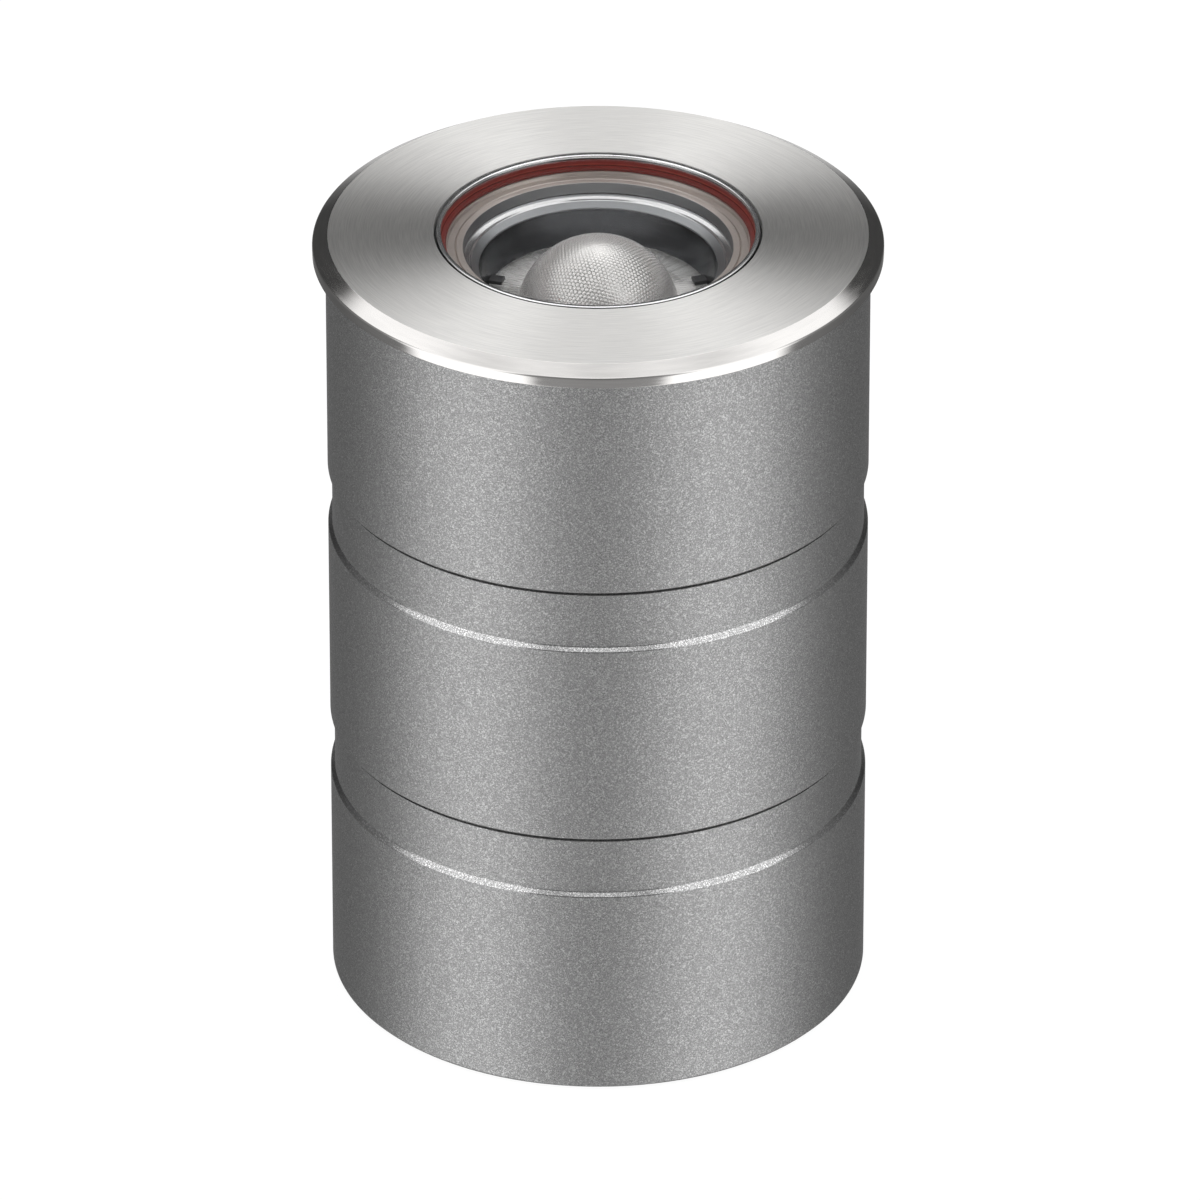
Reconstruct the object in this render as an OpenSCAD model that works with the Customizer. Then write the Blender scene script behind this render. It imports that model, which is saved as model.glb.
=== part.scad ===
// In-ground well light: three stacked sections under a bevelled trim ring.
// The light stands on its foot at z = 0 and shines up along +Z.

/* [Sections] */
// Outer diameter of the three sections
body_d = 95.4; // [94.5:0.1:96.5]
// Height of the lower section, foot to lower joint
lower_h = 50.5; // [48:0.5:60]
// Height of the middle section, joint to joint
middle_h = 49.7; // [47:0.1:60]
// Height of the upper section and trim ring, upper joint to opening edge
upper_h = 46.8; // [46:0.1:50]
// Radial depth of the recessed necks, and size of the edges that meet them
neck_inset = 0.75; // [0.5:0.05:1]
// Height of the recessed necks
neck_h = 10.3; // [8:0.1:12]
// Chamfer around the foot
foot_chamfer = 0.6; // [0.3:0.1:1]
// Radial thickness of the skirts that slip over the spigots
skirt_wall = 3.7; // [3.5:0.1:3.9]
// Wall of the spigots and of the chambers below them
spigot_wall = 3.7; // [3.5:0.1:3.9]
// Height of the spigots above each joint
spigot_h = 11.5; // [10:0.5:12]
// Thickness of the webs that close the chambers
web_t = 3; // [2.5:0.1:3.5]

/* [Trim ring] */
// Overhang of the trim ring past the sections, all round
trim_overhang = 2.3; // [1.5:0.1:8]
// Height of the lip that hides the top of the barrel
trim_lip_h = 0.3; // [0.2:0.05:0.5]
// Radial width of the trim ring, outer edge to opening
trim_face_w = 21.25; // [20.9:0.05:21.35]
// Rise of the brushed face from its bevel to the opening
trim_crown = 0.6; // [0.3:0.1:0.8]
// Radial width of the polished bevel
trim_bevel_w = 2.7; // [2:0.1:3.5]
// Drop of the polished bevel
trim_bevel_h = 1.6; // [1.5:0.05:2.2]
// Height of the upright rim below the bevel
trim_rim_h = 1.9; // [1.4:0.1:2]
// Thickness of the ring beside its opening
trim_plate_t = 1.6; // [1.2:0.1:1.7]
// Radial thickness of the collar under the ring
trim_collar_w = 2.15; // [2:0.05:2.2]

/* [Window] */
// Radial gap between the opening and the cover glass
glass_inset = 1.15; // [1.1:0.05:1.4]
// Thickness of the cover glass
glass_t = 4; // [3.5:0.1:4.2]
// Depth of the glass below the opening edge
glass_recess = 0.5; // [0.4:0.05:0.7]
// Thickness of the seal's leg under the glass
seal_leg_t = 0.6; // [0.4:0.05:0.8]
// Depth of the seat's inner face below its top
seat_step = 0.68; // [0.5:0.02:0.8]
// Radial distance between the opening and the seat's step
seat_step_w = 2.45; // [2.3:0.05:2.7]
// Radial width of the seat's face, step to bore
seat_face_w = 2.7; // [2.5:0.05:3]
// Depth of the seat's bore
seat_bore_h = 2.05; // [1.6:0.05:2.4]

/* [Optics] */
// Radial width of the baffle lip, seat bore to cone
lip_w = 2.7; // [2.4:0.05:2.9]
// Radial run of the baffle cone, top to foot
cone_run = 1.4; // [1:0.05:1.8]
// Height of the baffle cone
cone_h = 5.9; // [5:0.1:6.2]
// Height of the baffle lip
lip_h = 1.8; // [1.6:0.1:2.3]
// Radius of the lens dome, as a share of the opening
dome_share = 0.504; // [0.495:0.001:0.515]
// Height of the dome above the lens flange
dome_h = 10.6; // [10:0.1:10.9]
// Thickness of the lens flange
lens_flange_t = 2; // [1.6:0.1:2.2]
// Height of the lens body below its flange
lens_body_h = 7.6; // [7:0.1:8]
// Radius of the chip's lit disc, as a share of the dome
led_share = 0.414; // [0.37:0.002:0.44]
// Radius of the LED board, as a share of the lit disc
board_share = 2.167; // [2.1:0.005:2.22]

/* [Base] */
// Height of the recess under the base plate
recess_h = 21; // [20.5:0.5:24]
// Thickness of the base plate
plate_t = 4; // [3:0.5:5]
// Thread diameter of the cable gland
gland_d = 20; // [18:0.5:21]
// Diameter of the cable that the gland takes
cable_d = 8; // [6:0.5:10]
// Width across the flats of the gland's hexagons
gland_af = 24; // [23.5:0.5:25]

/* [Fasteners] */
// Thread diameter of the screws that hold the sections and the base
main_screw_d = 4; // [3.5:0.5:4]
// Thread diameter of the screws in the head and the driver tray
small_screw_d = 3; // [2.5:0.5:3]
// Thread diameter of the screws beside the lens holder
tiny_screw_d = 2.5; // [2:0.1:2.6]
// Cross section of the section O-rings
joint_ring_d = 2; // [1.6:0.1:2.1]

/* [Hidden] */
$fn = 96;

// Clearances and the overrun of every cut
slide_gap = 0.3;
ring_gap = 0.2;
face_gap = 0.1;
thread_gap = 0.15;
cut = 1;

// Colours
grain_grey = "#8d8d8c";
steel = "#c9c8c5";
bright = "#d9d9d8";
seal_red = "#8c2f2b";
warm_grey = "#9b9693";
near_black = "#2c2c2d";
moulded_black = "#1f2022";
clear = "#e9eef0";
zinc = "#b6b8ba";
nickel = "#c4c2ba";
rubber_black = "#262626";
board_green = "#2f5d43";
copper = "#b87446";
nylon_grey = "#a9abac";

// Levels and radii of the stack of sections
body_r = body_d / 2;
neck_r = body_r - neck_inset;
skirt_r = body_r - skirt_wall;
spigot_r = skirt_r - slide_gap;
chamber_r = spigot_r - spigot_wall;
socket_h = spigot_h + slide_gap;
lower_joint_z = lower_h;
upper_joint_z = lower_h + middle_h;
top_z = upper_joint_z + upper_h;
spigot_chamfer = skirt_wall / 5;
joint_groove_w = joint_ring_d * 1.3;
joint_ring_r = skirt_r - ring_gap - joint_ring_d / 2;
joint_groove_r = joint_ring_r - joint_ring_d / 2 - face_gap / 2;
joint_groove_lift = spigot_h / 3;

// Levels and radii of the trim ring
trim_r = body_r + trim_overhang;
trim_lip_r = body_r + ring_gap;
opening_r = trim_r - trim_face_w;
trim_edge_z = top_z - trim_crown;
trim_rim_z = trim_edge_z - trim_bevel_h;
trim_under_z = trim_rim_z - trim_rim_h;
trim_seat_z = trim_under_z + trim_lip_h;
head_r = skirt_r - slide_gap;
collar_r = head_r - slide_gap;
collar_in_r = collar_r - trim_collar_w;
clamp_r = collar_in_r - slide_gap;
section_top_z = trim_seat_z - face_gap;
friction_ring_d = trim_collar_w * 0.7;
friction_ring_r = head_r - ring_gap - friction_ring_d / 2;
friction_groove_r = friction_ring_r - friction_ring_d / 2 - face_gap / 2;

// Levels of the window, from the opening edge down
glass_r = opening_r - glass_inset;
glass_top_z = top_z - glass_recess;
glass_low_z = glass_top_z - glass_t;
seat_top_z = glass_low_z - seal_leg_t;
seat_face_z = seat_top_z - seat_step;
lip_top_z = seat_face_z - seat_bore_h;
seat_step_r = opening_r - seat_step_w;
seat_bore_r = seat_step_r - seat_face_w;
seat_shoulder_h = 3.3;
seat_shoulder_z = seat_top_z - seat_shoulder_h;
collar_low_z = seat_shoulder_z + slide_gap;
seat_flange_h = 2.2;
ledge_z = seat_shoulder_z - seat_flange_h;
seat_ring_d = seat_flange_h * 0.55;
seat_groove_w = seat_ring_d * 1.25;
seat_flange_r = head_r - slide_gap;
seat_ring_r = head_r - face_gap - seat_ring_d / 2;
seat_pocket_r = seat_step_r - ring_gap;

// Glass clamp: a thin bright lip, and a flange hidden under the trim ring
lip_gap = 0.4;
clamp_lip_r = opening_r - lip_gap;
clamp_lip_in_r = glass_r - face_gap;
clamp_collar_t = 0.45;
clamp_flange_z = top_z - trim_plate_t - face_gap;
clamp_wall_z = clamp_flange_z - clamp_collar_t * 1.8;
seal_wide_r = clamp_lip_r + clamp_collar_t * 2.5;
seal_thin_r = clamp_lip_r - clamp_collar_t;
seal_leg_r = glass_r - seal_leg_t * 1.7;
groove_line_w = 0.2;

// Levels of the optics
lip_r = seat_pocket_r - ring_gap;
lip_low_z = lip_top_z - lip_h;
cone_flange_t = 1;
cone_wall = 1;
cone_top_r = seat_bore_r - lip_w;
cone_low_r = cone_top_r - cone_run;
dome_r = opening_r * dome_share;
cone_low_z = lip_low_z - cone_h;
lens_top_z = cone_low_z - face_gap;
lens_low_z = lens_top_z - lens_flange_t;
lens_foot_z = lens_low_z - lens_body_h;
lens_flange_r = cone_low_r + cone_wall * 1.2;
led_gap = 0.3;
led_r = dome_r * led_share;
led_t = 0.8;
board_r = led_r * board_share;
board_t = 1.6;
pad_t = 0.4;
board_top_z = lens_foot_z - led_gap - led_t;
board_low_z = board_top_z - board_t;
spreader_top_z = board_low_z - pad_t;
spreader_t = 3.7;
upper_web_z = spreader_top_z - spreader_t;
upper_web_low_z = upper_joint_z + socket_h;
holder_r = lip_r - ring_gap * 2.5;
holder_top_z = lip_low_z - cone_flange_t;
holder_bore_r = cone_top_r + cone_wall * 1.3;
holder_pocket_r = lens_flange_r + ring_gap;
holder_shelf_r = lens_flange_r * 0.84;
holder_foot_r = board_r + cone_wall;
catch_w = 3;
catch_t = 0.9;
catch_reach = 2.4;
catch_angles = [16, 164, 196, 344];

// Screws: head and key sizes are shares of the thread diameter
head_share = 1.75;
key_share = 0.87;
main_screw_r = main_screw_d / 2;
main_boss_r = main_screw_d * 1.1;
main_circle_r = chamber_r - main_boss_r + neck_inset;
main_screw_reach = spigot_h * 0.85;
boss_h = spigot_h + cut;
upper_boss_angles = [30, 150, 270];
lower_boss_angles = [90, 210, 330];
base_boss_angles = [45, 135, 225, 315];
clamp_screw_angles = [for (i = [0 : 5]) 60 * i];
clamp_screw_circle_r = (seal_wide_r + clamp_r) / 2;
clamp_screw_reach = seat_shoulder_h * 1.2;
spreader_r = main_circle_r - main_screw_d * head_share / 2 - slide_gap * 4;
spreader_screw_r = (spreader_r + holder_r) / 2;
spreader_screw_angles = [90, 210, 330];
spreader_head_d = min(tiny_screw_d * head_share, spreader_r - holder_r - slide_gap * 2);
led_screw_circle_r = (board_r + led_r) / 2;
led_screw_angles = [0, 180];

// Base plate and gland
plate_top_z = recess_h + plate_t;
gasket_t = 1;
ledge_low_z = plate_top_z + gasket_t;
recess_r = skirt_r - neck_inset * 2;
plate_r = recess_r - slide_gap;
gland_r = gland_d / 2;
gland_hex_r = gland_af / 2 / cos(30);
gland_hex_t = gland_d / 4;
gland_neck_h = gland_d * 0.4;
gland_neck_r = gland_r * 0.95;
gland_neck_z = recess_h - gland_hex_t - gland_neck_h;
gland_socket_r = gland_r * 0.82;
gland_bore_r = gland_r * 0.6;
gland_thread_h = gland_d * 0.3;
locknut_t = gland_d * 0.22;
gland_nut_top_z = recess_h - gland_hex_t - slide_gap;
gland_nut_low_z = gland_neck_z - gland_d * 0.18;
gland_nut_lip = gland_d * 0.1;
gland_seal_z = gland_nut_low_z + gland_nut_lip + face_gap;
gland_seal_h = gland_neck_z + gland_neck_h * 0.8 - gland_seal_z;
cable_r = cable_d / 2;
plug_offset = gland_hex_r + plate_t * 2.3;
vent_af = 10;
vent_r = vent_af * 0.4;
vent_hex_t = 4;

// Connectors that part when a section is lifted
plug_r = chamber_r * 0.175;
junction_y = -chamber_r * 0.575;
plug_h = 10.2;
pin_r = 0.9;
pin_h = 6.4;
pin_pitch = 5;
lead_r = 0.8;
middle_web_low_z = lower_joint_z + socket_h;
middle_web_z = middle_web_low_z + web_t;
head_plug_y = -led_screw_circle_r - lead_r;

// Driver
tray_r = spreader_r + neck_inset;
tray_wall = 1.5;
tray_h = 26;
standoff_h = 6;
standoff_r = 2.5;
standoff_angles = [20, 110, 200, 340];
driver_board_r = tray_r - tray_wall - slide_gap;
driver_board_z = middle_web_z + tray_wall + standoff_h;
driver_top_z = driver_board_z + board_t;
tray_screw_circle_r = tray_r * 0.8;
tray_screw_angles = [60, 180, 300];
core_w = tray_r * 0.617;
core_l = tray_r * 0.525;
core_h = 16;
choke_r = tray_r * 0.185;
choke_winding_r = choke_r / 2;
can_r = tray_r * 0.157;
can_h = 17;

// Terminal block
terminal_w = chamber_r * 0.75;
terminal_l = chamber_r * 0.375;
terminal_h = 14;
terminal_y = gland_hex_r + terminal_l / 2 + slide_gap * 2;
terminal_pitch = terminal_w * 0.317;
terminal_hole_r = 1.4;
terminal_hole_z = plate_top_z + terminal_h * 0.45;

// Copies of a piece at angles on a circle
module around(angles, radius) {
    for (a = angles) rotate(a) translate([radius, 0, 0]) children();
}

// Socket-head screw with its head's seat at z = 0
module cap_screw(d, reach, head_d = 0) {
    head = head_d > 0 ? head_d : d * head_share;
    difference() {
        union() {
            cylinder(d = head, h = d);
            translate([0, 0, -reach]) cylinder(d = d, h = reach + d / 2);
        }
        translate([0, 0, d / 2]) cylinder(d = d * key_share, h = d, $fn = 6);
    }
}

// O-ring of section d around a centre line of radius r
module o_ring(r, d) {
    rotate_extrude() translate([r, 0]) circle(d = d, $fn = 32);
}

// Insulated wire through a chain of points, with round elbows
module lead(points, r) {
    for (i = [0 : len(points) - 2]) {
        run = points[i + 1] - points[i];
        span = norm(run);
        translate(points[i])
            rotate([0, acos(run.z / span), atan2(run.y, run.x)])
                cylinder(r = r, h = span, $fn = 24);
    }
    for (i = [1 : 1 : len(points) - 2]) translate(points[i]) sphere(r = r * 1.06, $fn = 24);
}

// Upper end that the middle and lower sections share: neck, shoulder, spigot and O-ring groove
function joint_end(joint_z) = let (groove_z = joint_z + joint_groove_lift, spigot_z = joint_z + spigot_h) [
    [body_r, joint_z - neck_h - neck_inset],
    [neck_r, joint_z - neck_h],
    [neck_r, joint_z],
    [spigot_r, joint_z],
    [spigot_r, groove_z],
    [joint_groove_r, groove_z],
    [joint_groove_r, groove_z + joint_groove_w],
    [spigot_r, groove_z + joint_groove_w],
    [spigot_r, spigot_z - spigot_chamfer],
    [spigot_r - spigot_chamfer, spigot_z],
    [chamber_r, spigot_z]
];

// Lower end that the upper and middle sections share: chamfered skirt over the spigot below
function skirt_end(joint_z) = [
    [skirt_r, joint_z + face_gap + spigot_chamfer / 2],
    [skirt_r + spigot_chamfer / 2, joint_z + face_gap],
    [neck_r, joint_z + face_gap],
    [body_r, joint_z + face_gap + neck_inset]
];

// Tapped boss inside a chamber wall, hanging down from its mouth at z
module bosses(angles, z, h) {
    around(angles, main_circle_r) translate([0, 0, z - h]) {
        cylinder(r = main_boss_r, h = h);
        translate([0, 0, -main_boss_r]) cylinder(r1 = main_boss_r / 3, r2 = main_boss_r, h = main_boss_r);
    }
}

// Holes for the main screws, from z up
module main_holes(angles, z, h, gap) {
    around(angles, main_circle_r) translate([0, 0, z]) cylinder(r = main_screw_r + gap, h = h);
}

module lower_section() {
    color(grain_grey) difference() {
        union() {
            rotate_extrude() polygon(concat([
                [recess_r, 0],
                [body_r - foot_chamfer, 0],
                [body_r, foot_chamfer]], joint_end(lower_joint_z), [
                [chamber_r, ledge_low_z],
                [recess_r, ledge_low_z]]));
            intersection() {
                union() {
                    bosses(lower_boss_angles, lower_joint_z + spigot_h, boss_h);
                    around(base_boss_angles, main_circle_r) translate([0, 0, ledge_low_z])
                        cylinder(r = main_boss_r, h = boss_h);
                }
                cylinder(r = chamber_r + cut / 4, h = top_z);
            }
        }
        main_holes(lower_boss_angles, lower_joint_z + spigot_h - main_screw_reach, main_screw_reach + cut, thread_gap);
        main_holes(base_boss_angles, ledge_low_z - cut, main_screw_reach + cut, thread_gap);
    }
}

module base_plate() {
    color(grain_grey) difference() {
        translate([0, 0, recess_h]) union() {
            cylinder(r = plate_r, h = plate_t - foot_chamfer);
            translate([0, 0, plate_t - foot_chamfer])
                cylinder(r1 = plate_r, r2 = plate_r - foot_chamfer, h = foot_chamfer);
        }
        translate([0, 0, recess_h - cut]) {
            cylinder(r = gland_r + face_gap, h = plate_t + cut * 2);
            translate([plug_offset, 0, 0]) cylinder(r = vent_r + face_gap, h = plate_t + cut * 2);
            main_holes(base_boss_angles, 0, plate_t + cut * 2, thread_gap * 1.5);
        }
        translate([-plug_offset, 0, plate_top_z - plate_t * 0.6])
            cylinder(r = main_screw_r + face_gap, h = plate_t);
    }
}

module base_gasket() {
    color(rubber_black) translate([0, 0, plate_top_z]) difference() {
        cylinder(r = plate_r - foot_chamfer * 1.5, h = gasket_t);
        translate([0, 0, -cut]) cylinder(r = chamber_r - main_boss_r / 4, h = gasket_t + cut * 2);
        main_holes(base_boss_angles, -cut, gasket_t + cut * 2, thread_gap * 4);
    }
}

module base_screws() {
    color(zinc) around(base_boss_angles, main_circle_r) translate([0, 0, recess_h])
        rotate([180, 0, 0]) cap_screw(main_screw_d, plate_t + gasket_t + main_screw_reach * 0.8);
}

module gland_body() {
    color(nickel) difference() {
        union() {
            translate([0, 0, recess_h - gland_hex_t]) cylinder(r = gland_hex_r, h = gland_hex_t, $fn = 6);
            translate([0, 0, gland_neck_z]) cylinder(r = gland_neck_r, h = gland_neck_h + cut);
            translate([0, 0, recess_h - cut])
                cylinder(r = gland_r, h = plate_t + gland_thread_h + cut);
        }
        translate([0, 0, gland_neck_z - cut])
            cylinder(r = gland_bore_r, h = top_z);
        translate([0, 0, gland_neck_z - cut])
            cylinder(r = gland_socket_r, h = gland_neck_h + cut);
    }
}

module gland_locknut() {
    color(nickel) translate([0, 0, plate_top_z]) difference() {
        cylinder(r = gland_hex_r, h = locknut_t, $fn = 6);
        translate([0, 0, -cut]) cylinder(r = gland_r + face_gap, h = locknut_t + cut * 2);
    }
}

module gland_seal() {
    color(rubber_black) translate([0, 0, gland_seal_z]) difference() {
        cylinder(r = gland_socket_r - face_gap, h = gland_seal_h);
        translate([0, 0, -cut]) cylinder(r = cable_r, h = gland_seal_h + cut * 2);
    }
}

module gland_nut() {
    h = gland_nut_top_z - gland_nut_low_z;
    color(nickel) translate([0, 0, gland_nut_low_z]) difference() {
        intersection() {
            cylinder(r = gland_hex_r, h = h, $fn = 6);
            union() {
                cylinder(r1 = gland_hex_r * 0.72, r2 = gland_hex_r, h = h * 0.3);
                translate([0, 0, h * 0.3]) cylinder(r = gland_hex_r, h = h * 0.7);
            }
        }
        translate([0, 0, gland_nut_lip]) cylinder(r = gland_neck_r + slide_gap, h = h);
        translate([0, 0, -cut]) cylinder(r = gland_bore_r, h = h);
    }
}

module vent_plug() {
    color(moulded_black) translate([plug_offset, 0, 0]) difference() {
        union() {
            translate([0, 0, recess_h - vent_hex_t])
                cylinder(r = vent_af / 2 / cos(30), h = vent_hex_t, $fn = 6);
            translate([0, 0, recess_h - cut]) cylinder(r = vent_r, h = plate_t + cut * 2.5);
        }
        translate([0, 0, recess_h - vent_hex_t / 2])
            cylinder(r = vent_r * 0.4, h = plate_t + vent_hex_t);
        around([0, 90, 180, 270], 0) translate([0, 0, recess_h - vent_hex_t / 2])
            rotate([0, 90, 0]) cylinder(r = vent_r * 0.2, h = vent_af);
    }
}

module earth_screw() {
    color(zinc) translate([-plug_offset, 0, plate_top_z]) {
        difference() {
            cylinder(d = main_screw_d * head_share * 1.15, h = gasket_t);
            translate([0, 0, -cut]) cylinder(r = main_screw_r + face_gap, h = gasket_t + cut * 2);
        }
        translate([0, 0, gasket_t]) cap_screw(main_screw_d, gasket_t + plate_t * 0.5);
    }
}

module terminal_block() {
    color(nylon_grey) difference() {
        translate([-terminal_w / 2, terminal_y - terminal_l / 2, plate_top_z]) union() {
            cube([terminal_w, terminal_l, terminal_h * 0.7]);
            translate([0, terminal_l * 0.2, 0]) cube([terminal_w, terminal_l * 0.6, terminal_h]);
        }
        for (i = [-1 : 1]) translate([i * terminal_pitch, terminal_y, 0]) {
            translate([0, terminal_l, terminal_hole_z]) rotate([90, 0, 0])
                cylinder(r = terminal_hole_r, h = terminal_l * 2);
            translate([0, 0, terminal_hole_z]) cylinder(d = small_screw_d * 1.2, h = terminal_h);
        }
    }
}

module terminal_screws() {
    color(zinc) for (i = [-1 : 1]) translate([i * terminal_pitch, terminal_y, 0]) difference() {
        translate([0, 0, terminal_hole_z + terminal_hole_r + face_gap])
            cylinder(d = small_screw_d, h = terminal_h * 0.35);
        translate([-small_screw_d, -small_screw_d / 12, terminal_hole_z + terminal_h * 0.35])
            cube([small_screw_d * 2, small_screw_d / 6, terminal_h]);
    }
}

module supply_leads() {
    socket_y = junction_y + plug_r;
    color(seal_red) for (side = [-1, 1]) lead([
        [side * terminal_pitch, terminal_y - terminal_l * 0.3, terminal_hole_z],
        [side * terminal_pitch, terminal_y - terminal_l * 0.75, terminal_hole_z],
        [side * pin_pitch, terminal_y - terminal_l * 1.2, terminal_hole_z + pin_h / 2],
        [side * pin_pitch / 2, socket_y + plug_r * 0.6, terminal_hole_z + pin_h / 2],
        [side * pin_pitch / 2, socket_y - lead_r, terminal_hole_z + pin_h / 4]], lead_r);
}

// Female connector, a round pillar from low_z to top, open for two pins
module socket(low_z, socket_top_z) {
    difference() {
        union() {
            translate([0, 0, low_z]) cylinder(r = plug_r, h = plate_t / 2);
            translate([0, 0, low_z]) cylinder(r = plug_r - tray_wall, h = socket_top_z - low_z);
        }
        for (side = [-1, 1]) translate([side * pin_pitch / 2, 0, socket_top_z - pin_h - cut])
            cylinder(r = pin_r + slide_gap, h = pin_h + cut * 2);
    }
}

// Male connector hanging from a web at z, with two pins
module plug(z) {
    translate([0, 0, z - plug_h * 0.3]) cylinder(r = plug_r, h = plug_h * 0.3);
    translate([0, 0, z - plug_h]) cylinder(r = plug_r - tray_wall, h = plug_h * 0.8);
    for (side = [-1, 1]) translate([side * pin_pitch / 2, 0, z - plug_h - pin_h])
        cylinder(r = pin_r, h = pin_h + cut);
}

module junction_socket() {
    color(moulded_black) difference() {
        translate([0, junction_y, 0]) socket(plate_top_z, middle_web_low_z - plug_h - slide_gap);
        for (side = [-1, 1]) lead([
            [side * pin_pitch / 2, junction_y + plug_r * 1.6, terminal_hole_z + pin_h / 2],
            [side * pin_pitch / 2, junction_y + plug_r - lead_r, terminal_hole_z + pin_h / 4]], lead_r * 1.3);
    }
}

module lower_joint_ring() {
    color(seal_red) translate([0, 0, lower_joint_z + joint_groove_lift + joint_groove_w / 2])
        o_ring(joint_ring_r, joint_ring_d);
}

module middle_section() {
    color(grain_grey) difference() {
        union() {
            rotate_extrude() polygon(concat(skirt_end(lower_joint_z), joint_end(upper_joint_z), [
                [chamber_r, middle_web_z],
                [0, middle_web_z],
                [0, middle_web_low_z],
                [skirt_r, middle_web_low_z]]));
            intersection() {
                bosses(upper_boss_angles, upper_joint_z + spigot_h, boss_h);
                cylinder(r = chamber_r + cut / 4, h = top_z);
            }
        }
        main_holes(upper_boss_angles, upper_joint_z + spigot_h - main_screw_reach, main_screw_reach + cut, thread_gap);
        main_holes(lower_boss_angles, middle_web_low_z - cut, web_t + cut * 2, thread_gap * 1.5);
        around(tray_screw_angles, tray_screw_circle_r) translate([0, 0, middle_web_z - web_t * 0.7])
            cylinder(d = small_screw_d + face_gap * 2, h = web_t);
        for (side = [-1, 1]) translate([side * pin_pitch / 2, junction_y, middle_web_low_z - cut])
            cylinder(r = lead_r * 1.6, h = web_t + cut * 2);
    }
}

module junction_screws() {
    color(zinc) around(lower_boss_angles, main_circle_r) translate([0, 0, middle_web_z])
        cap_screw(main_screw_d, web_t + main_screw_reach * 0.85);
}

module junction_plug() {
    color(moulded_black) difference() {
        translate([0, junction_y, 0]) plug(middle_web_low_z);
        for (side = [-1, 1]) translate([side * pin_pitch / 2, junction_y, middle_web_low_z - plug_h / 4])
            cylinder(r = lead_r * 1.2, h = plug_h);
    }
}

module driver_tray() {
    color(moulded_black) translate([0, 0, middle_web_z]) difference() {
        union() {
            difference() {
                cylinder(r = tray_r, h = tray_h);
                translate([0, 0, tray_wall]) cylinder(r = tray_r - tray_wall, h = tray_h);
            }
            around(standoff_angles, driver_board_r - standoff_r)
                cylinder(r = standoff_r, h = tray_wall + standoff_h);
        }
        around(tray_screw_angles, tray_screw_circle_r) translate([0, 0, -cut])
            cylinder(d = small_screw_d * 1.2, h = tray_wall + cut * 2);
        for (side = [-1, 1]) translate([side * pin_pitch / 2, junction_y, -cut])
            cylinder(r = lead_r * 1.6, h = tray_wall + cut * 2);
    }
}

module driver_screws() {
    color(zinc) around(tray_screw_angles, tray_screw_circle_r) translate([0, 0, middle_web_z + tray_wall])
        cap_screw(small_screw_d, tray_wall + web_t * 0.6);
}

module driver_board() {
    color(board_green) translate([0, 0, driver_board_z]) difference() {
        cylinder(r = driver_board_r, h = board_t);
        for (side = [-1, 1]) translate([side * pin_pitch / 2, junction_y, -cut])
            cylinder(r = lead_r * 1.2, h = board_t + cut * 2);
    }
}

module driver_transformer() {
    window_h = core_h * 0.6;
    color(copper) translate([tray_r * 0.32, tray_r * 0.3, driver_top_z]) {
        difference() {
            translate([-core_w / 2, -core_l / 2, tray_wall]) cube([core_w, core_l, core_h]);
            for (side = [-1, 1]) translate([side * core_w / 4, 0, tray_wall + core_h / 2])
                cube([core_w / 5, core_l + cut, window_h], center = true);
        }
        translate([-core_w / 2, -core_l / 2, 0]) cube([core_w, core_l, tray_wall]);
        for (side = [-1, 1]) translate([side * core_w / 4, 0, tray_wall + core_h / 2])
            cube([core_w / 5, core_l * 1.25, window_h], center = true);
    }
}

module driver_choke() {
    color(copper) translate([-tray_r * 0.45, tray_r * 0.4, driver_top_z + choke_winding_r])
        o_ring(choke_r, choke_winding_r * 2);
}

module driver_capacitors() {
    color(moulded_black) {
        translate([-tray_r * 0.5, -tray_r * 0.15, driver_top_z]) cylinder(r = can_r, h = can_h);
        translate([-tray_r * 0.42, -tray_r * 0.58, driver_top_z]) cylinder(r = can_r * 0.8, h = can_h * 0.7);
        translate([tray_r * 0.5, -tray_r * 0.35, driver_top_z]) cylinder(r = can_r * 0.93, h = can_h * 0.9);
    }
}

module driver_leads() {
    color(seal_red) for (side = [-1, 1]) lead([
        [side * pin_pitch / 2, junction_y, driver_board_z + board_t],
        [side * pin_pitch / 2, junction_y, middle_web_low_z - plug_h / 4]], lead_r);
}

module driver_socket() {
    color(moulded_black) translate([0, head_plug_y, 0])
        socket(driver_top_z, upper_web_low_z - plug_h - slide_gap);
}

module upper_joint_ring() {
    color(seal_red) translate([0, 0, upper_joint_z + joint_groove_lift + joint_groove_w / 2])
        o_ring(joint_ring_r, joint_ring_d);
}

module upper_section() {
    color(grain_grey) difference() {
        rotate_extrude() polygon(concat(skirt_end(upper_joint_z), [
            [body_r, section_top_z],
            [head_r, section_top_z],
            [head_r, ledge_z],
            [chamber_r, ledge_z],
            [chamber_r, upper_web_z],
            [0, upper_web_z],
            [0, upper_web_low_z],
            [skirt_r, upper_web_low_z]]));
        main_holes(upper_boss_angles, upper_web_low_z - cut, upper_web_z - upper_web_low_z + cut * 2, thread_gap * 1.5);
        around(spreader_screw_angles, spreader_screw_r) translate([0, 0, upper_web_z - web_t * 0.7])
            cylinder(d = tiny_screw_d + face_gap * 2, h = web_t);
        lead_holes(upper_web_low_z - cut, upper_web_z + cut, lead_r * 1.6);
    }
}

// Pair of lead holes below the LED board
module lead_holes(low_z, high_z, r) {
    for (side = [-1, 1]) translate([side * pin_pitch / 2, head_plug_y, low_z])
        cylinder(r = r, h = high_z - low_z);
}

module head_screws() {
    color(zinc) around(upper_boss_angles, main_circle_r) translate([0, 0, upper_web_z])
        cap_screw(main_screw_d, upper_web_z - upper_web_low_z + main_screw_reach * 0.85);
}

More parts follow.
